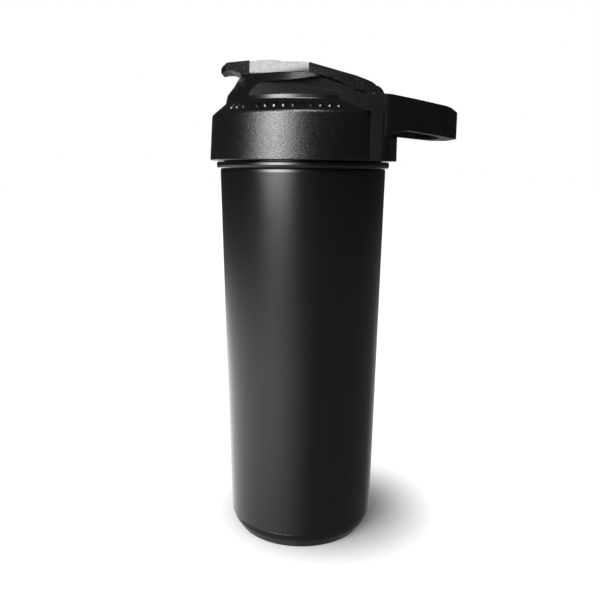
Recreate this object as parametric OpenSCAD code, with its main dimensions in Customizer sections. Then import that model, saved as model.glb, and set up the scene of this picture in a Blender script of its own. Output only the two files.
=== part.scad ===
// Insulated protein shaker bottle: vacuum-walled steel body, two-piece screw lid with a flip cap over
// the drinking spout, a carry handle, and a mixing grid that snaps in under the lid.
// Frame: +Z up, origin on the bottle's axis at the table, spout towards -X, handle towards +X.

/* [Bottle] */
// Outer radius of the body just under its bead
body_top_r = 41.4; // [41.2:0.1:41.8]
// Outer radius of the body where the base cup is welded on
body_foot_r = 37.8; // [37.4:0.1:38.2]
// Height of the lip of the bottle above the table
lip_z = 208; // [207.8:0.1:208.2]
// Thickness of the outer steel wall
shell_wall = 0.6; // [0.5:0.05:0.8]
// Vacuum gap between the two steel walls
vacuum_gap = 2.6; // [2.2:0.1:3]

/* [Lid] */
// Outer radius of the lid's skirt at its lower edge
skirt_r = 46.4; // [46.2:0.1:47]
// Outer radius of the lid's skirt at its upper edge
skirt_top_r = 45.1; // [44.9:0.1:45.4]
// Radius of the drinking hole in the spout
spout_bore_r = 8; // [7.5:0.1:8.4]

/* [Handle] */
// Distance from the bottle's axis to the far end of the carry handle
handle_reach = 76.2; // [74:0.2:80]
// Thickness of the handle's side walls
handle_wall = 5; // [4.5:0.1:5.5]

/* [Flip cap] */
// Half of the flip cap's width at its lower edge
cap_half_w = 17.5; // [17:0.1:18]
// Height of the flip cap's flat top
cap_top_z = 239.4; // [239.2:0.1:240]

/* [Hidden] */
$fn = 96;
eps = 0.01;

// Body levels
cup_z = 8.6;                    // weld between base cup and outer shell
body_top_z = 188.2;             // top of the tapered wall
shoulder_z = 189.8;             // flat shoulder round the foot of the neck
neck_r = 39.6;                  // outer radius of the steel neck
ring_r = 43.3;                  // outer radius of the ring that lies on the shoulder
ring_top_z = 193.1;             // top of that ring
liner_t = 0.5;                  // thickness of the inner steel wall
liner_neck_r = neck_r - shell_wall - 0.8; // outer radius of the liner inside the neck
liner_floor_z = 9.4;            // underside of the liner's bottom
liner_weld_z = 15;              // weld between liner wall and liner bottom
foot_r = 33.3;                  // outer edge of the standing ring
foot_in_r = 29.6;               // inner edge of the standing ring
recess_z = 2.6;                 // underside of the recessed bottom

// Thread
thread_pitch = 5;
thread_turns = 1.25;
neck_thread_r = 40.6;           // crest of the neck's thread
lid_thread_r = 41;              // crest of the lid's thread
thread_z = 197;                 // start height of both threads
thread_steps = 36;              // rings per turn of the threads

// Lid levels
skirt_z = 193.5;                // lower edge of the skirt
skirt_top_z = 213.4;            // upper end of the skirt's straight wall
cover_in_r = 44.3;              // inside of the cover's skirt
plate_z = 211;                  // underside of the liner's top plate
deck_z = 232.8;                 // flat deck that the flip cap closes on
deck_t = 1.9;                   // thickness of the cover's deck
core_r = 26;                    // turret core of the liner
sleeve_in_r = 42.9;             // inside of the liner's threaded sleeve
lip_ring_r = 37.0;              // outer radius of the ring under the liner that centres the gasket

// Spout and hinge
spout_x = -15;
badge_x = -17;                  // centre of the badge on the cap
spout_r = 10;
spout_rim_z = 235.8;
hinge_x = 33.2;
hinge_z = 223.6;
pin_r = 1.5;
knuckle_r = 4.6;                // radius of the cover's knuckle
knuckle_half_w = 9;             // half of that knuckle's width
cheek_r = 5;                    // radius of the cap's hinge cheeks
cheek_half_w = 17.4;            // half of the width across both cheeks
run_gap = 0.4;                  // clearance beside and round the moving hinge parts

// Handle
yoke_y = 34.8;                  // outer face of the handle's arms
arm_z = 215.5;                  // underside of the arms where they lie in the cover
apron_in_r = 45.6;              // inside of the apron on the back of the skirt
apron_x = 30.2;                 // front edge of the apron
apron_top_z = arm_z;            // top of the apron
recess_y = 28.2;                // inner wall of the recesses in the turret's sides
recess_floor_z = 222.4;         // floor of those recesses

black = [0.05, 0.05, 0.055];

// ---- helpers -------------------------------------------------------------------------------------

function unit(v) = v / norm(v);
function xy(p) = [p[0], p[1]];

// Points of an arc of radius r that rounds the corner p between neighbours a and b
function corner(p, a, b, r, n) =
    let (u = unit(a - p), v = unit(b - p), half = acos(u * v) / 2, t = r / tan(half),
         c = p + unit(u + v) * r / sin(half), s = p + u * t - c, e = p + v * t - c,
         from = atan2(s[1], s[0]), sweep = ((atan2(e[1], e[0]) - from + 540) % 360) - 180)
    [for (i = [0:n]) c + r * [cos(from + sweep * i / n), sin(from + sweep * i / n)]];

// Outline from [x, y, radius] corners, each one rounded by its radius
function rounded(pts, n = 6) =
    [for (i = [0:len(pts) - 1])
        let (m = len(pts), p = xy(pts[i]), a = xy(pts[(i + m - 1) % m]), b = xy(pts[(i + 1) % m]))
        each (pts[i][2] == 0 ? [p] : corner(p, a, b, pts[i][2], n))];

// Mirror image of a half outline about the X axis, joined to it
function both_sides(half) =
    concat(half, [for (i = [len(half) - 1:-1:0]) if (half[i][1] != 0) [half[i][0], -half[i][1], half[i][2]]]);

// Extrudes an outline drawn in X and Z along Y, from y0 to y1
module side_prism(points, y0, y1)
    translate([0, y1, 0]) rotate([90, 0, 0]) linear_extrude(y1 - y0) polygon(points);

module bore_y(x, z, r, y0, y1)
    translate([x, y1, z]) rotate([90, 0, 0]) cylinder(r = r, h = y1 - y0);

module tube(r_out, r_in, z0, z1)
    translate([0, 0, z0]) difference() {
        cylinder(r = r_out, h = z1 - z0);
        translate([0, 0, -1]) cylinder(r = r_in, h = z1 - z0 + 2);
    }

// Helical ridge: root and crest are radii, and the ridge is trapezoidal and fades out at both ends
module ridge(root, crest) {
    n = ceil(thread_turns * thread_steps);
    width = [1.5, 0.5];
    pts = [for (i = [0:n])
        let (a = i * 360 / thread_steps, z = thread_z + i * thread_pitch / thread_steps,
             fade = min(1, min(i, n - i) / 4 + 0.1), top = root + (crest - root) * fade)
        each [for (c = [[root, -width[0]], [top, -width[1]], [top, width[1]], [root, width[0]]])
            [c[0] * cos(a), c[0] * sin(a), z + c[1]]]];
    flip = crest > root;
    sides = [for (i = [0:n - 1], j = [0:3])
        let (a = 4 * i + j, b = 4 * i + (j + 1) % 4, c = b + 4, d = a + 4) [a, b, c, d]];
    ends = [[3, 2, 1, 0], [4 * n, 4 * n + 1, 4 * n + 2, 4 * n + 3]];
    quads = concat(sides, ends);
    faces = flip ? quads : [for (q = quads) [q[3], q[2], q[1], q[0]]];
    polyhedron(points = pts, faces = faces, convexity = 6);
}

// ---- bottle --------------------------------------------------------------------------------------

function wall_r(z) = body_foot_r + (body_top_r - body_foot_r) * (z - cup_z) / (body_top_z - cup_z);
function liner_r(z) = wall_r(z) - shell_wall - vacuum_gap;

module outer_shell() color(black) {
    t = shell_wall;
    rotate_extrude() polygon([
        [wall_r(cup_z) - t, cup_z], [wall_r(cup_z), cup_z], [body_top_r, body_top_z],
        [body_top_r - 0.05, shoulder_z - 0.3], [body_top_r - 0.35, shoulder_z], [neck_r, shoulder_z],
        [neck_r, lip_z - 0.4], [neck_r - 0.4, lip_z], [liner_neck_r, lip_z], [liner_neck_r, lip_z - t],
        [neck_r - t, lip_z - t], [neck_r - t, shoulder_z - t], [body_top_r - 0.9, shoulder_z - t],
        [body_top_r - t, body_top_z]]);
    ridge(neck_r - 0.15, neck_thread_r);
}

// Drawn cup that closes the shell: chamfered heel, standing ring and recessed floor
module base_cup() color(black) rotate_extrude() {
    t = shell_wall;
    heel = rounded([[wall_r(cup_z) - 0.25, cup_z, 0], [wall_r(cup_z) - 1.1, 5.2, 4],
                    [foot_r, 0, 1.2], [foot_in_r, 0, 0]], 5);
    inside = [[foot_in_r - 0.9, recess_z], [1.5, recess_z], [1.5, recess_z + t],
              [foot_in_r - 0.5, recess_z + t], [foot_in_r + 0.6, t + 0.2], [foot_r - 0.8, t + 0.2],
              [wall_r(cup_z) - 1.8, 5.5], [wall_r(cup_z) - 0.25 - t, cup_z]];
    polygon(concat(heel, inside));
}

// Thin plate glued into the recess, which hides the vacuum seal
module base_cover() color(black) translate([0, 0, 1.5]) difference() {
    cylinder(r = 27.6, h = 1.1);
    translate([0, 0, 0.5]) cylinder(r = 3.2, h = 2);
}

module vacuum_seal() color("gray") rotate_extrude()
    polygon([[0, 2.1], [2.6, 2.2], [2.9, 2.6], [1.5, 2.6], [1.5, 3.4], [0, 3.6]]);

module liner_wall() color("silver") rotate_extrude()
    polygon([[liner_r(liner_weld_z), liner_weld_z], [liner_r(body_top_z), body_top_z - 2],
             [liner_neck_r, shoulder_z], [liner_neck_r, lip_z], [liner_neck_r - liner_t, lip_z],
             [liner_neck_r - liner_t, shoulder_z], [liner_r(body_top_z) - liner_t, body_top_z - 2],
             [liner_r(liner_weld_z) - liner_t, liner_weld_z]]);

module liner_bottom() color("silver") rotate_extrude() {
    r = liner_r(liner_weld_z);
    arc = 5;
    outer = [for (i = [0:6]) [r - arc + arc * sin(i * 15), liner_floor_z + arc * (1 - cos(i * 15))]];
    inner = [for (i = [6:-1:0])
        [r - arc + (arc - liner_t) * sin(i * 15), liner_floor_z + arc - (arc - liner_t) * cos(i * 15)]];
    polygon(concat([[0, liner_floor_z]], outer, [[r, liner_weld_z], [r - liner_t, liner_weld_z]],
                   inner, [[0, liner_floor_z + liner_t]]));
}

module getter_capsule() color("dimgray") translate([11, 0, 6.2]) difference() {
    cylinder(r = 5, h = 2.2);
    translate([0, 0, -1]) cylinder(r = 3.4, h = 2);
}

module getter_clip() color("silver") difference() {
    translate([2, -2, 8.4]) cube([18, 4, liner_floor_z - 8.4]);
    translate([7, -3, 8.8]) cube([8, 6, 2]);
}

// ---- lid -----------------------------------------------------------------------------------------

// Outer outline of the lid: skirt, shoulder, band, turret
module lid_envelope(grow = 0) rotate_extrude() polygon(concat(
    [[0, skirt_z]],
    rounded([[skirt_r + grow, skirt_z, 0.5], [skirt_top_r + grow, skirt_top_z + 1.4, 2.2],
             [38.2 + grow, 220.6, 1.2], [37.4 + grow, 224.2, 2], [31.7 + grow, 231.6, 2],
             [31.4 + grow, deck_z, 0.6], [0, deck_z, 0]], 5)));

// Everything below the deck, which slopes down to the hinge under the flip cap
module under_deck(drop) side_prism([[-60, 180], [-60, deck_z - drop], [1, deck_z - drop],
    [23, 226 - drop], [60, 221.5 - drop], [60, 180]], -60, 60);

// Recess in the turret's side: an arched finger scoop, open at the top behind it for the handle's arm
scoop = rounded([[-26, recess_floor_z, 0], [-21.5, 228.2, 5], [-5, 229.2, 12], [10, 231.2, 0],
                 [60, 236, 0], [60, recess_floor_z, 0]]);

// Knuckle that the cap's cheeks straddle, with its foot
module cover_knuckle() {
    bore_y(hinge_x, hinge_z, knuckle_r, -knuckle_half_w, knuckle_half_w);
    side_prism([[hinge_x - knuckle_r, hinge_z], [hinge_x - knuckle_r - 1, 216], [hinge_x + 2.9, 216],
                [hinge_x + 2.9, hinge_z]], -knuckle_half_w, knuckle_half_w);
}

module lid_cover() color(black) difference() {
    union() {
        difference() {
            intersection() {
                lid_envelope();
                under_deck(0);
            }
            // pocket for the cap's cheeks, open at the back for the swing of its rear edge
            bore_y(hinge_x, hinge_z, cheek_r + run_gap, -cheek_half_w - run_gap, cheek_half_w + run_gap);
            side_prism([[hinge_x, 219], [60, 219], [60, 235], [hinge_x, 235]],
                       -cheek_half_w - run_gap, cheek_half_w + run_gap);
        }
        cover_knuckle();
    }
    translate([0, 0, skirt_z - 1]) cylinder(r = cover_in_r, h = plate_z + 2 - skirt_z + 1);
    intersection() {
        translate([0, 0, plate_z]) cylinder(r = core_r + 0.1, h = 30);
        under_deck(deck_t);
    }
    translate([spout_x, 0, 220]) cylinder(r = spout_r + 0.2, h = 20);
    for (s = [-60, recess_y]) side_prism(scoop, s, s + 60 - recess_y);
    handle_body();
    // step that the handle's apron lies in
    intersection() {
        tube(60, apron_in_r, skirt_z - 1, apron_top_z + 0.1);
        translate([apron_x, -60, 150]) cube([60, 120, 100]);
    }
    bore_y(hinge_x, hinge_z, pin_r, -20, 20);
}

// Inner moulding: threaded sleeve, sealing plate, turret core and spout
module lid_liner() color(black) {
    difference() {
        union() {
            translate([0, 0, skirt_z + 1]) cylinder(r = cover_in_r - 0.05, h = plate_z + 2 - skirt_z - 1);
            intersection() {
                translate([0, 0, plate_z]) cylinder(r = core_r, h = 30);
                under_deck(deck_t + 0.05);
            }
            translate([spout_x, 0, 220]) cylinder(r = spout_r, h = spout_rim_z - 220);
        }
        translate([0, 0, skirt_z]) cylinder(r = sleeve_in_r, h = plate_z - skirt_z);
        intersection() {
            translate([0, 0, plate_z - 1]) cylinder(r = core_r - 2.2, h = 30);
            under_deck(deck_t + 2.2);
        }
        translate([spout_x, 0, 200]) cylinder(r = spout_bore_r, h = 50);
    }
    tube(lip_ring_r, lip_ring_r - 1.2, 204, plate_z + eps);
    ridge(sleeve_in_r + 0.5, lid_thread_r);
}

// Loose silicone ring between the skirt and the bottle's shoulder, wide enough to pass the thread
module neck_ring() color(black) rotate_extrude() polygon(rounded([
    [neck_thread_r + 0.3, shoulder_z + 0.05, 0], [ring_r - 0.4, shoulder_z + 0.05, 0.4],
    [ring_r, 191.4, 1.4], [ring_r - 0.4, ring_top_z, 0.4], [neck_thread_r + 0.3, ring_top_z, 0]], 4));

module lid_gasket() color("dimgray")
    tube(liner_neck_r + 3.2, lip_ring_r + 0.15, lip_z + 0.1, plate_z - 0.1);

// ---- handle --------------------------------------------------------------------------------------

// Side outline of the arms and the loop: sloping top, rounded nose, underside rising from the skirt
handle_side = rounded([[-4.5, 227.8, 1], [6, 225.3, 20], [20, 223.4, 30], [39, 223, 30], [69.5, 218.4, 6],
                       [handle_reach + 0.6, 215.5, 4], [handle_reach - 0.6, 204.2, 1.2], [68, 204.6, 10],
                       [47.5, 207.2, 8], [37, 204.5, 0], [37, arm_z, 0], [-1, arm_z, 0], [-1, recess_floor_z, 3]]);

loop_out = both_sides([[-12, yoke_y, 0], [38.5, yoke_y, 8], [50, 31, 12], [66.5, 23.5, 9],
                       [handle_reach - 2.2, 13, 8], [handle_reach, 0, 0]]);
loop_in = both_sides([[-13, yoke_y - handle_wall, 0], [38, yoke_y - handle_wall, 8],
                      [48, 26.4, 10], [60, 20.5, 7], [handle_reach - 9.5, 11, 6],
                      [handle_reach - 9, 0, 0]]);

// Back of the lid, squared off behind the skirt
apron_out = both_sides([[apron_x, yoke_y, 0], [38.5, yoke_y, 5], [44.2, 22, 12], [47, 0, 0]]);

// Upright walls that the arms and the loop are cut from
module loop_walls() translate([0, 0, 190]) linear_extrude(50) difference() {
    polygon(rounded(loop_out));
    polygon(rounded(loop_in));
}

// Arms and loop, before the apron is added
module handle_body() intersection() {
    side_prism(handle_side, -60, 60);
    loop_walls();
}

module carry_handle() color(black) {
    handle_body();
    translate([0, 0, skirt_z]) linear_extrude(apron_top_z - skirt_z) difference() {
        polygon(rounded(apron_out));
        circle(r = apron_in_r + 0.05);
    }
}

// ---- flip cap ------------------------------------------------------------------------------------

roof_z = 237;                   // roof of the hollow under the cap
facet_lean = 22;                // lean of the cap's side facets, in degrees

cap_side = rounded([[-40.2, 234.4, 0.6], [-40, 236.9, 1.5], [-36.8, cap_top_z, 3], [1.5, cap_top_z, 5],
                    [25.7, 233, 12], [33, 230.2, 9], [hinge_x + cheek_r, 225, 1],
                    [hinge_x + cheek_r, hinge_z, 0], [hinge_x, hinge_z, 0], [hinge_x - 4.2, hinge_z + 2.6, 0],
                    [22.8, 227.3, 0], [16, 230.8, 10], [8, 233.2, 12], [-28, 233.2, 3],
                    [-34.5, 235.7, 4], [-37.5, 235.5, 2]]);
cap_plan = both_sides([[-40.2, 0, 0], [-40, 8, 6], [-25, cap_half_w, 0], [2, cap_half_w, 0],
                       [hinge_x + cheek_r, cheek_half_w, 0], [hinge_x + cheek_r, 0, 0]]);

module flip_cap() color(black) {
    difference() {
        union() {
            intersection() {
                side_prism(cap_side, -20, 20);
                translate([0, 0, 215]) linear_extrude(30) polygon(rounded(cap_plan));
            }
            bore_y(hinge_x, hinge_z, cheek_r, -cheek_half_w, cheek_half_w);
        }
        // leaning side facets
        for (s = [-1, 1]) translate([-26, s * cap_half_w, 233.4]) rotate([s * facet_lean, 0, 0])
            translate([0, s > 0 ? 0 : -10, -0.5]) cube([29, 10, 30]);
        // hollow underside
        translate([0, 0, 230]) linear_extrude(roof_z - 230)
            polygon(rounded(both_sides([[-30.6, 0, 0], [-30.6, 7, 4], [-22, 13, 6], [8, 13, 4], [12, 10, 4],
                                        [12, 0, 0]])));
        // room for the cover's knuckle and its foot
        bore_y(hinge_x, hinge_z, knuckle_r + run_gap, -knuckle_half_w - run_gap, knuckle_half_w + run_gap);
        side_prism([[hinge_x - 8, hinge_z + 3], [hinge_x - 8, 210], [60, 210], [60, 240],
                    [hinge_x + 0.6, 240], [hinge_x + 0.6, hinge_z + 1], [hinge_x, hinge_z + 1]],
                   -knuckle_half_w - run_gap, knuckle_half_w + run_gap);
        bore_y(hinge_x, hinge_z, pin_r + 0.05, -20, 20);
        // shallow seat for the badge
        translate([badge_x, 0, cap_top_z - 0.4]) cylinder(r = 13.1, h = 3);
    }
}

// Plain domed badge on the cap
module cap_badge() color("silver") translate([badge_x, 0, cap_top_z - 0.4]) rotate_extrude() {
    r = 13;
    edge = 0.8;
    rise = 1.9;
    ball = (r * r + rise * rise) / (2 * rise);
    reach = asin(r / ball);
    polygon(concat([[0, 0], [r, 0]],
        [for (i = [0:8]) let (a = reach * (1 - i / 8)) [ball * sin(a), edge + rise - ball * (1 - cos(a))]]));
}

// Silicone pad under the cap, with a bead that closes on the rim of the spout
module spout_seal() color("dimgray") translate([spout_x, 0, 0]) rotate_extrude()
    polygon([[0, spout_rim_z + 0.6], [spout_bore_r - 0.6, spout_rim_z + 0.6],
             [spout_bore_r + 0.4, spout_rim_z + 0.1], [spout_r - 0.4, spout_rim_z + 0.1],
             [spout_r + 0.6, spout_rim_z + 0.6], [spout_r + 0.6, roof_z], [0, roof_z]]);

module hinge_pin() color("silver") bore_y(hinge_x, hinge_z, pin_r, -cheek_half_w, cheek_half_w);

// ---- mixing grid ---------------------------------------------------------------------------------

grid_r = lip_ring_r - 1.4;      // outer radius of the grid's rim
hole_pitch = 9;
hole_r = 3.3;

module mixing_grid() color(black) {
    tube(grid_r, grid_r - 2, 202.6, 210.2);
    translate([0, 0, 202.6]) linear_extrude(2.6) difference() {
        circle(r = grid_r - 1);
        for (i = [-4:4], j = [-4:4]) {
            p = [hole_pitch * (i + j / 2), hole_pitch * j * sin(60)];
            if (norm(p) < grid_r - hole_r - 3) translate(p) circle(r = hole_r, $fn = 32);
        }
    }
}

// ---- nodes ---------------------------------------------------------------------------------------

outer_shell();
base_cup();
base_cover();
liner_wall();
liner_bottom();
getter_capsule();
getter_clip();
vacuum_seal();
neck_ring();
lid_gasket();
lid_cover();
lid_liner();
carry_handle();
hinge_pin();
mixing_grid();
flip_cap();
cap_badge();
spout_seal();
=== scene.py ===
"""Finished look of an insulated shaker bottle: coated body, grained screw lid, carry loop and flip cap."""

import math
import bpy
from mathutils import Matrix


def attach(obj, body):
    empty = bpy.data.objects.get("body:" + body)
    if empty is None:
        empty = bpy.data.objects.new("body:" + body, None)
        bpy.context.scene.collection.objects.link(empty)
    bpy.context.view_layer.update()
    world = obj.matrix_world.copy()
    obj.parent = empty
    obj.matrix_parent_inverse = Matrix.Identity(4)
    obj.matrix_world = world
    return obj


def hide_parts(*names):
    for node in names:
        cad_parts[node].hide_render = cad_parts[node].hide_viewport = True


bl_info = {
    "name": "Shaker bottle",
    "version": (1, 0, 0),
    "blender": (4, 5, 0),
    "location": "3D View > Sidebar > Bottle",
    "description": "Builds the detailed pieces, finishes and stage of an insulated shaker bottle",
    "category": "Object",
}

import bmesh
import bpy
from mathutils import Matrix, Vector

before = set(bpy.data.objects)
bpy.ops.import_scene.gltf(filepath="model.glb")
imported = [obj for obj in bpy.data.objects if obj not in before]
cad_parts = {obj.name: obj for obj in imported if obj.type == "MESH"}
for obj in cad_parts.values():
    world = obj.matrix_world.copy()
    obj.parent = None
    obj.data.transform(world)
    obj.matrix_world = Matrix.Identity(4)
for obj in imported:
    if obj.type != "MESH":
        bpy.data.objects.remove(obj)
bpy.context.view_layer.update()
MM = 0.001
TURN = 2 * math.pi
DEGREES = math.degrees(1)


# ---- outlines ------------------------------------------------------------------------------------


def rounded(corners, steps=6):
    """Points of a closed outline from (a, b, radius) corners."""
    points = []
    count = len(corners)
    for i, (a, b, radius) in enumerate(corners):
        p = Vector((a, b))
        if radius == 0:
            points.append(p)
            continue
        before = (Vector(corners[i - 1][:2]) - p).normalized()
        after = (Vector(corners[(i + 1) % count][:2]) - p).normalized()
        half = before.angle(after) / 2
        centre = p + (before + after).normalized() * radius / math.sin(half)
        start = p + before * radius / math.tan(half) - centre
        sweep = start.angle_signed(p + after * radius / math.tan(half) - centre)
        for k in range(steps + 1):
            arm = start.copy()
            arm.rotate(Matrix.Rotation(-sweep * k / steps, 2))
            points.append(centre + arm)
    return points


def both_sides(half):
    """Half an outline and its mirror image about the first axis."""
    return half + [(a, -b, r) for a, b, r in reversed(half) if b != 0]


# ---- mesh tools ----------------------------------------------------------------------------------


def closed_edges(bm, verts):
    return [bm.edges.new((verts[i - 1], verts[i])) for i in range(len(verts))]


def lathe(profile, steps=192):
    """Solid of revolution about Z from a closed (radius, height) outline in millimetres."""
    bm = bmesh.new()
    verts = [bm.verts.new((r * MM, 0, z * MM)) for r, z in profile]
    edges = closed_edges(bm, verts)
    bmesh.ops.spin(bm, geom=verts + edges, cent=(0, 0, 0), axis=(0, 0, 1), angle=TURN,
                   steps=steps, use_merge=True, use_normal_flip=False)
    bmesh.ops.remove_doubles(bm, verts=bm.verts, dist=1e-6)
    bmesh.ops.dissolve_degenerate(bm, edges=bm.edges, dist=1e-7)
    bmesh.ops.recalc_face_normals(bm, faces=bm.faces)
    return bm


def prism(outline, plane, low, high):
    """Outline in millimetres in plane XZ or XY, extruded from low to high along the third axis."""
    bm = bmesh.new()
    along = {"XZ": (0, 1, 0), "XY": (0, 0, 1)}[plane]
    corners = [(a, low, b) if plane == "XZ" else (a, b, low) for a, b in outline]
    face = bm.faces.new([bm.verts.new(Vector(corner) * MM) for corner in corners])
    grown = bmesh.ops.extrude_face_region(bm, geom=[face])["geom"]
    bmesh.ops.translate(bm, verts=[g for g in grown if isinstance(g, bmesh.types.BMVert)],
                        vec=Vector(along) * (high - low) * MM)
    bmesh.ops.recalc_face_normals(bm, faces=bm.faces)
    return bm


def bar(centre, radius, low, high, along="Z", segments=96):
    """Cylinder in millimetres; centre gives its two coordinates across its length."""
    bm = bmesh.new()
    bmesh.ops.create_cone(bm, cap_ends=True, segments=segments, radius1=radius * MM, radius2=radius * MM,
                          depth=(high - low) * MM)
    middle = (low + high) / 2
    if along == "Y":
        bmesh.ops.rotate(bm, verts=bm.verts, cent=(0, 0, 0), matrix=Matrix.Rotation(math.pi / 2, 3, "X"))
        spot = (centre[0], middle, centre[1])
    else:
        spot = (centre[0], centre[1], middle)
    bmesh.ops.translate(bm, verts=bm.verts, vec=Vector(spot) * MM)
    bmesh.ops.recalc_face_normals(bm, faces=bm.faces)
    return bm


def to_object(bm, name):
    mesh = bpy.data.meshes.new(name)
    bm.to_mesh(mesh)
    bm.free()
    obj = bpy.data.objects.new(name, mesh)
    bpy.context.scene.collection.objects.link(obj)
    return obj


def combine(base, *steps):
    """Applies exact booleans to a bmesh: each step is (operation, bmesh). Returns the new bmesh."""
    body = to_object(base, "work")
    tools = []
    for operation, bm in steps:
        tool = to_object(bm, "tool")
        tools.append(tool)
        cut = body.modifiers.new("cut", "BOOLEAN")
        cut.operation, cut.object, cut.solver = operation, tool, "EXACT"
    graph = bpy.context.evaluated_depsgraph_get()
    out = bmesh.new()
    out.from_mesh(body.evaluated_get(graph).to_mesh())
    for obj in [body, *tools]:
        bpy.data.objects.remove(obj)
    bmesh.ops.remove_doubles(out, verts=out.verts, dist=2e-6)
    return out


def soften(bm, width, angle=28, segments=3):
    """Rounds the edges that are sharper than angle degrees."""
    bmesh.ops.dissolve_limit(bm, angle_limit=math.radians(0.4), verts=bm.verts, edges=bm.edges)
    sharp = [e for e in bm.edges if e.is_manifold and e.calc_face_angle() > math.radians(angle)]
    bmesh.ops.bevel(bm, geom=sharp, offset=width * MM, offset_type="OFFSET", affect="EDGES",
                    segments=segments, profile=0.5, material=-1, clamp_overlap=True, loop_slide=True)
    return bm


def piece(bm, name, body, finish, stands_for=(), smooth=32):
    """Finished object on a body, with its finish and the CAD nodes it stands for."""
    obj = to_object(bm, name)
    obj.data.shade_smooth()
    obj.data.set_sharp_from_angle(angle=math.radians(smooth))
    weighted = obj.modifiers.new("weighted", "WEIGHTED_NORMAL")
    weighted.keep_sharp, weighted.weight = True, 60
    obj.data.materials.append(finish)
    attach(obj, body)
    if stands_for:
        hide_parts(*stands_for)
    return obj


def refinish(node, finish):
    """New material on a CAD node that stays as it is."""
    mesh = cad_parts[node].data
    mesh.materials.clear()
    mesh.materials.append(finish)


# ---- shader tools --------------------------------------------------------------------------------


class Value:
    """A shader socket that adds Math nodes when it is used in an expression."""

    def __init__(self, finish, socket):
        self.finish, self.socket = finish, socket

    def math(self, operation, *inputs):
        return self.finish.add("ShaderNodeMath", {"operation": operation}, *inputs)

    def __add__(self, other):
        return self.math("ADD", self, other)

    __radd__ = __add__

    def __sub__(self, other):
        return self.math("SUBTRACT", self, other)

    def __rsub__(self, other):
        return self.math("SUBTRACT", other, self)

    def __mul__(self, other):
        return self.math("MULTIPLY", self, other)

    __rmul__ = __mul__

    def __abs__(self):
        return self.math("ABSOLUTE", self)

    def between(self, low, high):
        """0 below low, 1 above high, and smooth between them."""
        return self.finish.add("ShaderNodeMapRange", {"interpolation_type": "SMOOTHSTEP"}, self, low, high,
                               0.0, 1.0)


class Finish:
    """A material, or the world, whose nodes are made by one method."""

    def __init__(self, name, kind="materials", shader="Principled BSDF"):
        self.material = getattr(bpy.data, kind).new(name)
        self.material.use_nodes = True
        self.tree = self.material.node_tree
        self.shader = self.tree.nodes[shader]

    def add(self, kind, settings, *inputs, out=0, **named):
        """Adds a node with its settings and inputs, and gives one of its outputs; None skips an input."""
        node = self.tree.nodes.new(kind)
        for key, value in settings.items():
            setattr(node, key, value)
        for place, value in [*enumerate(inputs), *named.items()]:
            key = place.replace("_", " ") if isinstance(place, str) else place
            if isinstance(value, Value):
                self.tree.links.new(value.socket, node.inputs[key])
            elif value is not None:
                node.inputs[key].default_value = value
        return Value(self, node.outputs[out])

    def set(self, **sockets):
        for key, value in sockets.items():
            socket = self.shader.inputs[key.replace("_", " ")]
            if isinstance(value, Value):
                self.tree.links.new(value.socket, socket)
            else:
                socket.default_value = value
        return self

    def place(self, scale=(1, 1, 1)):
        where = self.add("ShaderNodeTexCoord", {}, out=3)
        return self.add("ShaderNodeMapping", {}, where, Scale=scale)

    def noise(self, where, scale, detail=2.0, roughness=0.5, out=0):
        return self.add("ShaderNodeTexNoise", {}, Vector=where, Scale=scale, Detail=detail,
                        Roughness=roughness, out=out)

    def mix(self, factor, low, high):
        """Mix of two colours, which are the node's seventh and eighth inputs."""
        return self.add("ShaderNodeMix", {"data_type": "RGBA"}, factor, *[None] * 5, low, high, out=2)

    def bump(self, height, strength, distance, under=None):
        return self.add("ShaderNodeBump", {}, Strength=strength, Distance=distance, Height=height,
                        Normal=under)


def grey(value, warmth=0.0):
    return (value * (1 + warmth), value, value * (1 - warmth), 1.0)


def coated_steel(settings):
    """Satin black coat on the body: faint orange peel, cloudy sheen and a few rubbed patches."""
    f = Finish("coated_steel")
    where = f.place()
    peel = f.noise(where, 900.0, 2.0)
    cloud = f.noise(f.place((1, 1, 0.35)), 28.0, 4.0, 0.6)
    rub = f.noise(where, 70.0, 6.0, 0.62).between(0.56, 0.72)
    f.set(
        Base_Color=f.mix(cloud, grey(0.0010), grey(0.0020)),
        Roughness=settings.coat_roughness + cloud * 0.05 - rub * 0.02,
        Normal=f.bump(peel, 0.06, 0.00012),
    )
    return f.material


def grained_plastic(settings):
    """Spark-eroded black plastic of the lid's skirt; its shoulder and turret are smoother."""
    f = Finish("grained_plastic")
    where = f.place()
    grain = f.noise(where, 2100.0, 1.0, 0.5)
    fleck = grain.between(0.38, 0.64)
    pits = f.add("ShaderNodeTexVoronoi", {"feature": "F1"}, Vector=where, Scale=2400.0)
    cloud = f.noise(where, 45.0, 3.0)
    height = f.add("ShaderNodeSeparateXYZ", {}, f.place(), out=2)
    shoulder = height.between(0.2150, 0.2165)
    f.set(
        Base_Color=f.mix(cloud, grey(0.0015), grey(0.0025)),
        Roughness=0.20 + cloud * 0.04 + fleck * 0.11 * (1.0 - shoulder * 0.7),
        Normal=f.bump(grain * 1.8 + pits * 0.3, settings.grain_depth * (1.0 - shoulder * 0.6), 0.00020),
    )
    return f.material


def smooth_plastic(name="smooth_plastic", roughness=0.30, bevel=0.0, wear=0.0):
    """Moulded black plastic with a slight flow texture and handling marks."""
    f = Finish(name)
    where = f.place()
    flow = f.noise(where, 160.0, 3.0, 0.55)
    mark = f.noise(f.place((1, 4, 1)), 230.0, 5.0, 0.6).between(0.58, 0.75)
    dull = f.noise(f.place((1, 3, 3)), 420.0, 4.0, 0.6).between(0.45, 0.65)
    under = f.add("ShaderNodeBevel", {"samples": 6}, Radius=bevel) if bevel else None
    f.set(
        Base_Color=f.mix(flow, grey(0.0010), grey(0.0020)),
        Roughness=roughness + flow * 0.05 + mark * 0.04 + dull * wear,
        Normal=f.bump(flow, 0.025, 0.0002, under),
    )
    return f.material


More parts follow.
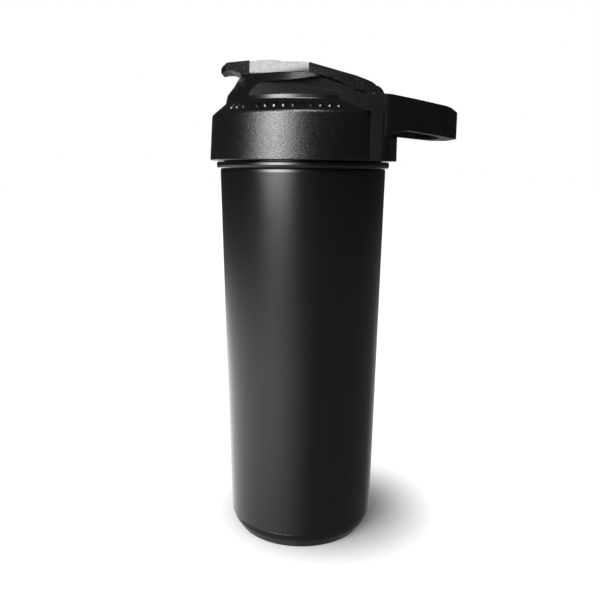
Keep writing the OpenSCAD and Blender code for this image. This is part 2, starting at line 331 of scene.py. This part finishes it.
def bare_steel():
    """Brushed steel: fine streaks round the axis."""
    f = Finish("bare_steel")
    streak = f.noise(f.place((1, 1, 60)), 60.0, 4.0, 0.6)
    cloud = f.noise(f.place(), 35.0, 3.0)
    f.set(
        Base_Color=f.mix(cloud, grey(0.46, 0.01), grey(0.58, 0.01)),
        Metallic=1.0,
        Roughness=0.24 + streak * 0.16,
        Normal=f.bump(streak, 0.08, 0.0001),
    )
    return f.material


def silicone(name, low, high, roughness):
    """Moulded silicone with a dusty, slightly uneven surface."""
    f = Finish(name)
    where = f.place()
    dust = f.noise(where, 420.0, 4.0, 0.6)
    f.set(
        Base_Color=f.mix(dust.between(0.45, 0.75), grey(low), grey(high)),
        Roughness=roughness + dust * 0.12,
        Normal=f.bump(dust, 0.08, 0.0001),
    )
    return f.material


def badge_finish():
    """Pale satin lacquer with a very fine sparkle."""
    f = Finish("badge_finish")
    where = f.place()
    fleck = f.noise(where, 2600.0, 2.0, 0.7)
    cloud = f.noise(where, 60.0, 3.0)
    f.set(
        Base_Color=f.mix(cloud, grey(0.42), grey(0.52)),
        Metallic=0.35,
        Roughness=0.34 + fleck * 0.12,
        Normal=f.bump(fleck, 0.06, 0.0001),
        Coat_Weight=0.3,
    )
    return f.material


# ---- sizes shared by the pieces, in millimetres ---------------------------------------------------

FAR = 60.0              # past the side of every piece
HIGH = 250.0            # past the top of every piece
SEAM_Z = 8.6            # weld between the wall and the bottom cup
SEAM_R = 37.8
SHOULDER_Z = 189.8      # shoulder of the wall, under the neck ring
LIP_Z = 208.0
NECK_R = 39.6
NECK_BORE = 39.0
THREAD_R = 40.6         # crest of the neck's thread
SKIRT_Z = 193.5         # lower edge of the lid's skirt
SKIRT_BORE = 44.3
CROWN_Z = 213.0         # underside of the cover's top
SIDE_R = 45.6           # the skirt's side, where the handle's back meets it
HINGE = (33.2, 223.6)
KNUCKLE_Y = 9.0         # half width of the cover's hinge knuckle
SLOT_Y = 9.4            # half width of the slot between the cap's cheeks
CHEEK_Y = 17.4          # half width of the cap at the hinge
POCKET_Y = 17.8         # half width of the pocket that the cheeks swing in
RECESS_Z = 222.4        # floor of the two recesses under the cap
RECESS_Y = 28.2
DECK_Z = 232.8
DECK_LINE = [(1, DECK_Z), (23, 226), (FAR, 221.5)]      # the deck's slope down to the hinge
CAP_X = -40.2           # tip of the thumb tab
CAP_Z = 239.4
CAP_Y = 17.5
SPOUT_X, SPOUT_HOLE_R = -15.0, 10.2
BADGE_X, BADGE_R = -17.0, 13.0
ARM_Y = 34.8            # outer face of the handle's arms
ARM_INSIDE = ARM_Y - 5
STEP_X = 30.2           # front edge of the handle's squared-off back
APRON_Z = 215.5

LOOP_SIDE = rounded([(-4.5, 227.6, 1), (6, 225.3, 20), (20, 223.4, 30), (39, 223, 30), (69.5, 218.4, 6),
                     (76.7, APRON_Z, 4), (75.5, 204.2, 1.2), (68, 204.6, 10), (47.5, 207.2, 8),
                     (37, 204.5, 0), (37, APRON_Z, 0), (2, APRON_Z, 0), (-1, 222.6, 4)], 8)
LOOP_OUT = rounded(both_sides([(-12, ARM_Y, 0), (38.5, ARM_Y, 8), (50, 31, 12), (66.5, 23.5, 9),
                               (74, 13, 8), (76.2, 0, 0)]), 8)
LOOP_IN = rounded(both_sides([(-13, ARM_INSIDE, 0), (38, ARM_INSIDE, 8), (48, 26.4, 10), (60, 20.5, 7),
                              (66.7, 11, 6), (67.2, 0, 0)]), 8)
APRON = rounded(both_sides([(STEP_X, ARM_Y, 0), (38.5, ARM_Y, 5), (44.2, 22, 12), (47, 0, 0)]), 8)


def under_deck(drop):
    """Prism below the deck, lowered by drop."""
    slope = [(x, z - drop) for x, z in DECK_LINE]
    return prism([(-FAR, 180), (-FAR, DECK_Z - drop), *slope, (FAR, 180)], "XZ", -FAR, FAR)


# ---- settings ------------------------------------------------------------------------------------


class BottleSettings(bpy.types.PropertyGroup):
    coat_roughness: bpy.props.FloatProperty(
        name="Coat roughness", description="Roughness of the coat on the body",
        default=0.22, min=0.1, max=0.8)
    grain_depth: bpy.props.FloatProperty(
        name="Grain depth", description="Strength of the grain on the lid's skirt",
        default=0.34, min=0, max=1)
    edge_round: bpy.props.FloatProperty(
        name="Edge rounding", description="Radius on the lid's edges, in millimetres",
        default=0.45, min=0.1, max=1)
    rib_count: bpy.props.IntProperty(
        name="Shoulder ribs", description="Raised ribs on each side of the shoulder",
        default=14, min=3, max=40)


class StageSettings(bpy.types.PropertyGroup):
    key_power: bpy.props.FloatProperty(
        name="Window", description="Brightness of the tall window on the left", default=19.0, min=0)
    ground_level: bpy.props.FloatProperty(
        name="Bright ground", description="Brightness of the lit ground on the left", default=1.7, min=0)
    surroundings: bpy.props.FloatProperty(
        name="Surroundings", description="Brightness of the dim rest of the room", default=0.035, min=0)
    top_power: bpy.props.FloatProperty(
        name="Top light", description="Power of the light over the bottle",
        default=4.1, min=0, unit="POWER")
    # the soft dark patch beside the foot is mostly painted shade in the floor's glow; this light adds only a
    # faint real shadow on the dim floor
    sky_power: bpy.props.FloatProperty(
        name="Sky light", description="Power of the wide light that casts the soft shadow",
        default=6.0, min=0, unit="POWER")
    # depth of the painted shade: how far the floor's glow is dimmed beside the foot
    painted_shade_depth: bpy.props.FloatProperty(
        name="Contact shade", description="Depth of the shade on the floor beside the foot",
        default=0.9, min=0, max=1)


# ---- pieces --------------------------------------------------------------------------------------


def wall_outline():
    """Section of the coated wall, from its weld up to the lip."""
    inside = 0.6
    return rounded([(SEAM_R - inside, SEAM_Z, 0), (SEAM_R, SEAM_Z, 0.12), (41.4, 188.2, 2),
                    (41.2, SHOULDER_Z, 0.5), (NECK_R, SHOULDER_Z, 0), (NECK_R, LIP_Z, 0.5),
                    (38.2, LIP_Z, 0), (38.2, LIP_Z - inside, 0), (NECK_BORE, LIP_Z - inside, 0),
                    (NECK_BORE, SHOULDER_Z - inside, 0), (40.4, SHOULDER_Z - 0.7, 0), (40.8, 188.2, 0)], 6)


def cup_outline():
    """Section of the bottom cup: rounded heel, standing ring and the recess for the cover plate."""
    top, recess, plate = SEAM_Z - 0.02, 2.6, 0.6
    return rounded([(37.55, top, 0.25), (36.7, 5.2, 4), (33.3, 0, 1.2), (29.6, 0, 0.5), (28.7, recess, 0.4),
                    (1.5, recess, 0), (1.5, recess + plate, 0), (29.1, recess + plate, 0), (30.2, 0.8, 0),
                    (32.5, 0.8, 0), (36.0, 5.5, 0), (36.95, top, 0)], 6)


def thread(root, crest):
    """Right-handed ridge of 1.25 turns that fades out at both ends."""
    pitch, turns, start, steps = 5.0, 1.25, 197.0, 96
    lead_in, fade_length = 0.1, 0.12
    bm = bmesh.new()
    section = [(root, -1.5), (crest, -0.5), (crest, 0.5), (root, 1.5)]
    verts = [bm.verts.new((r * MM, 0, (start + z) * MM)) for r, z in section]
    edges = closed_edges(bm, verts)
    bmesh.ops.spin(bm, geom=verts + edges, cent=(0, 0, 0), axis=(0, 0, 1), angle=TURN * turns,
                   steps=int(steps * turns), use_merge=False, dvec=(0, 0, pitch / steps * MM))
    bmesh.ops.holes_fill(bm, edges=[e for e in bm.edges if e.is_boundary], sides=4)
    for v in bm.verts:
        radius = math.hypot(v.co.x, v.co.y)
        along = (v.co.z / MM - start) / pitch
        fade = min(1.0, max(0.0, min(along + lead_in, turns - along + lead_in) / fade_length))
        wanted = root * MM + (radius - root * MM) * fade
        v.co.x, v.co.y = v.co.x * wanted / radius, v.co.y * wanted / radius
    bmesh.ops.recalc_face_normals(bm, faces=bm.faces)
    return soften(bm, 0.18, 25, 2)


class SHAKER_OT_body(bpy.types.Operator):
    """Coated steel wall with its neck and thread, and the bottom cup"""

    bl_idname = "shaker.body"
    bl_label = "Body"

    def execute(self, context):
        coat = coated_steel(context.scene.bottle)
        sunk = 0.2
        piece(lathe(wall_outline(), 224), "body_wall", "bottle", coat, ["outer_shell"])
        piece(thread(NECK_R - sunk, THREAD_R), "neck_thread", "bottle", coat)
        piece(lathe(cup_outline(), 224), "base_band", "bottle", coat, ["base_cup"])
        refinish("base_cover", coat)
        return {"FINISHED"}


class SHAKER_OT_ring(bpy.types.Operator):
    """Silicone ring under the skirt"""

    bl_idname = "shaker.ring"
    bl_label = "Neck ring"

    def execute(self, context):
        bore, low, high = 40.95, 189.9, 193.05
        outline = rounded([(bore, low, 0.3), (42.9, low, 0.7), (43.25, 191.4, 1.0), (43.0, high, 0.6),
                           (bore, high, 0.3)], 6)
        piece(lathe(outline, 224), "ring_seal", "ring", silicone("ring_silicone", 0.002, 0.004, 0.18),
              ["neck_ring"])
        return {"FINISHED"}


class SHAKER_OT_lid(bpy.types.Operator):
    """Lid cover: skirt, shoulder, turret with its two recesses, and the hinge knuckle"""

    bl_idname = "shaker.lid"
    bl_label = "Lid cover"

    def knuckle(self):
        foot = prism([(28.6, HINGE[1]), (27.6, 216), (36.1, 216), (36.1, HINGE[1])], "XZ",
                     -KNUCKLE_Y, KNUCKLE_Y)
        return combine(bar(HINGE, 4.6, -KNUCKLE_Y, KNUCKLE_Y, "Y", 48), ("UNION", foot),
                       ("DIFFERENCE", bar(HINGE, 1.5, -20, 20, "Y", 32)))

    def step(self):
        """Outer layer of the skirt behind STEP_X, where the handle's squared-off back sits against it."""
        behind = prism([(STEP_X, -FAR), (FAR, -FAR), (FAR, FAR), (STEP_X, FAR)], "XY", 150, HIGH)
        return combine(bar((0, 0), FAR, 192, 215.6),
                       ("DIFFERENCE", bar((0, 0), SIDE_R, 190, 216, segments=192)),
                       ("INTERSECT", behind))

    def execute(self, context):
        settings = context.scene.bottle
        outline = rounded([(SKIRT_BORE, SKIRT_Z, 0.4), (46.4, SKIRT_Z, 0.6), (45.1, 214.8, 2.4),
                           (38.4, 220.5, 1.0), (37.5, 224.4, 1.6), (34.2, 228.6, 8), (31.7, DECK_Z, 0.7),
                           (0, DECK_Z, 0), (0, CROWN_Z, 0), (SKIRT_BORE, CROWN_Z, 0)], 6)
        hollow = combine(bar((0, 0), 26.1, 200, 240), ("INTERSECT", under_deck(1.9)))
        scoop = rounded([(-26, RECESS_Z, 0.8), (-21.5, 228.2, 5), (-5, 229.2, 12), (10, 231.2, 0),
                         (FAR, 236, 0), (FAR, RECESS_Z, 0)], 8)
        above = [*DECK_LINE, (FAR, HIGH), (DECK_LINE[0][0], HIGH)]
        swing = [(HINGE[0], 219), (FAR, 219), (FAR, 235), (HINGE[0], 235)]
        bm = combine(
            lathe(outline, 192),
            ("DIFFERENCE", prism(above, "XZ", -FAR, FAR)),
            ("DIFFERENCE", hollow),
            ("DIFFERENCE", bar((SPOUT_X, 0), SPOUT_HOLE_R, 220, 240, segments=64)),
            ("DIFFERENCE", prism(scoop, "XZ", RECESS_Y, FAR)),
            ("DIFFERENCE", prism(scoop, "XZ", -FAR, -RECESS_Y)),
            ("DIFFERENCE", bar(HINGE, 5.4, -POCKET_Y, POCKET_Y, "Y", 64)),
            ("DIFFERENCE", prism(swing, "XZ", -POCKET_Y, POCKET_Y)),
            ("DIFFERENCE", self.step()),
            ("UNION", self.knuckle()),
        )
        soften(bm, settings.edge_round)
        piece(bm, "lid_skirt", "lid", grained_plastic(settings), ["lid_cover"])
        return {"FINISHED"}


class SHAKER_OT_ribs(bpy.types.Operator):
    """Row of raised ribs on the shoulder"""

    bl_idname = "shaker.ribs"
    bl_label = "Shoulder ribs"

    def execute(self, context):
        count = context.scene.bottle.rib_count
        size, radius, height = (3.6, 2.3, 1.5), 41.6, 217.7
        lean = Matrix.Rotation(math.radians(39.5), 3, "Y")
        first, sweep = -52, 74
        bm = bmesh.new()
        for side in (-1, 1):
            for i in range(count):
                angle = math.radians(side * 90 - side * (first + sweep * i / (count - 1)))
                made = bmesh.ops.create_cube(bm, size=1.0)["verts"]
                bmesh.ops.scale(bm, verts=made, vec=Vector(size) * MM)
                bmesh.ops.rotate(bm, verts=made, cent=(0, 0, 0), matrix=lean)
                bmesh.ops.translate(bm, verts=made, vec=Vector((radius, 0, height)) * MM)
                bmesh.ops.rotate(bm, verts=made, cent=(0, 0, 0), matrix=Matrix.Rotation(angle, 3, "Z"))
        soften(bm, 0.8, 30, 1)
        piece(bm, "shoulder_ribs", "lid", smooth_plastic("rib_plastic", 0.16))
        return {"FINISHED"}


class SHAKER_OT_handle(bpy.types.Operator):
    """Carry loop, its two arms and the squared-off back of the lid"""

    bl_idname = "shaker.handle"
    bl_label = "Carry loop"

    def execute(self, context):
        walls = combine(prism(LOOP_OUT, "XY", 190, 240), ("DIFFERENCE", prism(LOOP_IN, "XY", 185, 245)))
        loop = combine(walls, ("INTERSECT", prism(LOOP_SIDE, "XZ", -FAR, FAR)))
        apron = combine(prism(APRON, "XY", SKIRT_Z, APRON_Z + 0.4),
                        ("DIFFERENCE", bar((0, 0), SIDE_R + 0.05, 180, 230, segments=192)))
        bm = combine(loop, ("UNION", apron))
        soften(bm, 1.4, 30, 4)
        piece(bm, "carry_loop", "lid", smooth_plastic("loop_plastic", 0.22),
              ["carry_handle"])
        return {"FINISHED"}


class SHAKER_OT_cap(bpy.types.Operator):
    """Flip cap with its thumb tab, leaning side facets and hinge cheeks"""

    bl_idname = "shaker.cap"
    bl_label = "Flip cap"

    def facet(self, side):
        """Wedge that cuts the leaning facet on one side of the cap."""
        low = -10 if side < 0 else 0
        wedge = prism([(-25.5, -0.5), (2.4, -0.5), (2.4, 30), (-25.5, 30)], "XZ", 0, 10)
        bmesh.ops.translate(wedge, verts=wedge.verts, vec=(0, low * MM, 0))
        bmesh.ops.rotate(wedge, verts=wedge.verts, cent=(0, 0, 0),
                         matrix=Matrix.Rotation(math.radians(22 * side), 3, "X"))
        bmesh.ops.translate(wedge, verts=wedge.verts, vec=Vector((0, CAP_Y * side, 233.5)) * MM)
        return wedge

    def execute(self, context):
        heel_x, under = 38.2, 233.2
        side = rounded([(CAP_X, 234.4, 0.5), (-40, 236.9, 1.5), (-36.8, CAP_Z, 3), (0.5, CAP_Z, 5),
                        (25.2, 232.8, 12), (32.6, 230.0, 9), (heel_x, 225, 1), (heel_x, HINGE[1], 0),
                        (HINGE[0], HINGE[1], 0), (29, 226.2, 0), (22.8, 227.3, 0), (16, 230.8, 10),
                        (8, under, 12), (-28, under, 3), (-34.5, 235.7, 4), (-37.5, 235.5, 2)], 8)
        plan = rounded(both_sides([(CAP_X, 0, 0), (-40, 8, 6), (-25, CAP_Y, 0), (2, CAP_Y, 0),
                                   (heel_x, CHEEK_Y, 0), (heel_x, 0, 0)]), 8)
        hollow = rounded(both_sides([(-30.6, 0, 0), (-30.6, 7, 4), (-22, 13, 6), (8, 13, 4), (12, 10, 4),
                                     (12, 0, 0)]), 6)
        gap = [(25.2, 226.6), (25.2, 210), (FAR, 210), (FAR, 240), (33.8, 240), (33.8, 224.6),
               (HINGE[0], 224.6)]
        cheeks = combine(prism(plan, "XY", 215, 245), ("INTERSECT", prism(side, "XZ", -20, 20)),
                         ("UNION", bar(HINGE, 5, -CHEEK_Y, CHEEK_Y, "Y", 64)))
        bm = combine(
            cheeks,
            ("DIFFERENCE", self.facet(-1)),
            ("DIFFERENCE", self.facet(1)),
            ("DIFFERENCE", prism(hollow, "XY", 230, 237)),
            ("DIFFERENCE", bar(HINGE, 5.0, -SLOT_Y, SLOT_Y, "Y", 64)),
            ("DIFFERENCE", prism(gap, "XZ", -SLOT_Y, SLOT_Y)),
            ("DIFFERENCE", bar(HINGE, 1.55, -20, 20, "Y", 32)),
            ("DIFFERENCE", bar((BADGE_X, 0), BADGE_R + 0.1, 239, 245, segments=96)),
        )
        soften(bm, 0.45, 24, 3)
        plastic = smooth_plastic("cap_plastic", 0.20, wear=0.07)
        piece(bm, "cap_shell", "cap", plastic, ["flip_cap"])
        return {"FINISHED"}


class SHAKER_OT_badge(bpy.types.Operator):
    """Plain domed badge"""

    bl_idname = "shaker.badge"
    bl_label = "Badge"

    def execute(self, context):
        seat, edge, rise, steps = 239, 239.8, 1.9, 12
        rim = BADGE_R - 0.05
        ball = (BADGE_R ** 2 + rise ** 2) / (2 * rise)
        reach = math.asin(BADGE_R / ball)
        arc = [(ball * math.sin(a), edge + rise - ball * (1 - math.cos(a)))
               for a in [reach * (1 - i / steps) for i in range(steps + 1)]]
        outline = [(0, seat), (rim, seat), *[(min(r, rim), z) for r, z in arc]]
        bm = lathe(outline, 96)
        bmesh.ops.translate(bm, verts=bm.verts, vec=(BADGE_X * MM, 0, 0))
        soften(bm, 0.2, 30, 2)
        piece(bm, "domed_badge", "cap", badge_finish(), ["cap_badge"])
        return {"FINISHED"}


class SHAKER_OT_inside(bpy.types.Operator):
    """Finishes of the pieces inside the bottle and the lid"""

    bl_idname = "shaker.inside"
    bl_label = "Inner pieces"

    def execute(self, context):
        finishes = [
            (bare_steel(), ["liner_wall", "liner_bottom", "getter_capsule", "getter_clip", "vacuum_seal",
                            "hinge_pin"]),
            (smooth_plastic("inner_plastic", 0.2, 0.0004), ["lid_liner", "mixing_grid"]),
            (silicone("seal_silicone", 0.30, 0.42, 0.42), ["lid_gasket", "spout_seal"]),
        ]
        for finish, nodes in finishes:
            for node in nodes:
                refinish(node, finish)
        return {"FINISHED"}


# ---- stage, in metres and degrees ------------------------------------------------------------------

# where the floor's painted shade sits beside the foot and how far it reaches, in metres
PAINTED_SHADE_AT = (0.014, 0.010, 0.0)      # middle of the shade beside the foot
PAINTED_SHADE_IN, PAINTED_SHADE_OUT = 0.018, 0.076
CAMERA_AT = (-0.00107, -0.354, 0.1905)
CAMERA_DOWN, CAMERA_ROLL = 10.95, 0.36
CAMERA_LENS, CAMERA_SENSOR = 41.22, 36.0      # millimetres


class SHAKER_OT_stage(bpy.types.Operator):
    """Floor, lights, surroundings and camera"""

    bl_idname = "shaker.stage"
    bl_label = "Stage"

    def floor(self, stage):
        """Pale paper floor, whose glow is darkened beside the foot by a painted shade."""
        bm = bmesh.new()
        bmesh.ops.create_circle(bm, cap_ends=True, segments=64, radius=6.0)
        floor = to_object(bm, "floor")
        paper = Finish("floor_paper")
        where = paper.place()
        tooth = paper.noise(where, 900.0, 3.0)
        out = paper.add("ShaderNodeVectorMath", {"operation": "DISTANCE"}, where, PAINTED_SHADE_AT, out=1)
        # painted shade: the floor's glow is dimmed around a fixed point beside the foot, in place of the
        # bottle's cast shadow
        shade = (1.0 - out.between(PAINTED_SHADE_IN, PAINTED_SHADE_OUT)) * stage.painted_shade_depth
        paper.set(Base_Color=grey(0.10), Roughness=0.9, Normal=paper.bump(tooth, 0.03, 0.0002),
                  Emission_Color=paper.mix(shade, grey(1.0), grey(0.0)), Emission_Strength=1.0)
        floor.data.materials.append(paper.material)
        floor.visible_glossy = False

    def softbox(self, scene, name, power, size, where, target):
        light = bpy.data.lights.new(name, "AREA")
        light.shape, light.size, light.size_y, light.energy = "RECTANGLE", size[0], size[1], power
        obj = bpy.data.objects.new(name, light)
        obj.location = where
        obj.rotation_mode = "QUATERNION"
        obj.rotation_quaternion = (Vector(target) - Vector(where)).to_track_quat("-Z", "Y")
        scene.collection.objects.link(obj)
        obj.visible_camera = False
        return obj

    def surroundings(self, scene, stage):
        """Dim room with a tall window and lit ground on the left; the camera itself sees plain white."""
        room = Finish("surroundings", "worlds", "Background")
        scene.world = room.material
        towards = room.add("ShaderNodeTexCoord", {}, out=0)
        x, y, z = (room.add("ShaderNodeSeparateXYZ", {}, towards, out=i) for i in range(3))
        side = (x * -1.0).math("ARCTAN2", x * -1.0, y * -1.0) * DEGREES
        height = z.math("ARCSINE", z) * DEGREES
        window = side.between(6, 32) * side.between(65, 40) * height.between(-4.5, 6) * height.between(48, 28)
        ground = side.between(-22, 52) * height.between(-7, -19) * (1.0 - height.between(-20, -42) * 0.9)
        behind = abs(side).between(130, 165) * height.between(-8, -18) * (1.0 - height.between(-24, -42))
        open_back = abs(side).between(178, 166)
        glow = height.between(0, -14) * 0.15
        level = (stage.surroundings + glow + window * stage.key_power
                 + (ground * stage.ground_level + behind * 0.5) * open_back)
        seen = room.add("ShaderNodeLightPath", {}, out=0)
        room.set(Color=grey(1.0), Strength=level + seen * (1.0 - level))

    def camera(self, scene):
        lens = bpy.data.cameras.new("camera")
        lens.lens, lens.sensor_width = CAMERA_LENS, CAMERA_SENSOR
        lens.clip_start, lens.clip_end = 0.01, 50
        camera = bpy.data.objects.new("camera", lens)
        camera.location = CAMERA_AT
        camera.rotation_mode = "ZYX"
        camera.rotation_euler = (math.radians(90 - CAMERA_DOWN), 0, math.radians(CAMERA_ROLL))
        scene.collection.objects.link(camera)
        scene.camera = camera

    def execute(self, context):
        scene, stage = context.scene, context.scene.bottle_stage
        self.floor(stage)
        self.softbox(scene, "top", stage.top_power, (0.30, 0.24), (-0.03, -0.39, 0.706), (0, 0, 0.236))
        sky = self.softbox(scene, "sky", stage.sky_power, (1.2, 1.2), (-0.5, -0.1, 1.1), (0, 0, 0))
        sky.visible_glossy = False
        self.surroundings(scene, stage)
        self.camera(scene)
        scene.view_settings.view_transform = "Standard"
        return {"FINISHED"}


# ---- add-on --------------------------------------------------------------------------------------

STEPS = [SHAKER_OT_body, SHAKER_OT_ring, SHAKER_OT_lid, SHAKER_OT_ribs, SHAKER_OT_handle, SHAKER_OT_cap,
         SHAKER_OT_badge, SHAKER_OT_inside, SHAKER_OT_stage]


class SHAKER_PT_panel(bpy.types.Panel):
    """Sidebar panel with the settings and one button for each step"""

    bl_idname = "SHAKER_PT_panel"
    bl_label = "Shaker bottle"
    bl_space_type = "VIEW_3D"
    bl_region_type = "UI"
    bl_category = "Bottle"

    def draw(self, context):
        for group in (context.scene.bottle, context.scene.bottle_stage):
            for name in group.bl_rna.properties.keys():
                if name not in ("rna_type", "name"):
                    self.layout.prop(group, name)
        for step in STEPS:
            self.layout.operator(step.bl_idname)


CLASSES = [BottleSettings, StageSettings, *STEPS, SHAKER_PT_panel]


def register():
    for cls in CLASSES:
        bpy.utils.register_class(cls)
    bpy.types.Scene.bottle = bpy.props.PointerProperty(type=BottleSettings)
    bpy.types.Scene.bottle_stage = bpy.props.PointerProperty(type=StageSettings)


def unregister():
    del bpy.types.Scene.bottle_stage
    del bpy.types.Scene.bottle
    for cls in reversed(CLASSES):
        bpy.utils.unregister_class(cls)


def main():
    register()
    for step in STEPS:
        group, name = step.bl_idname.split(".")
        getattr(getattr(bpy.ops, group), name)()


if __name__ == "__main__":
    main()
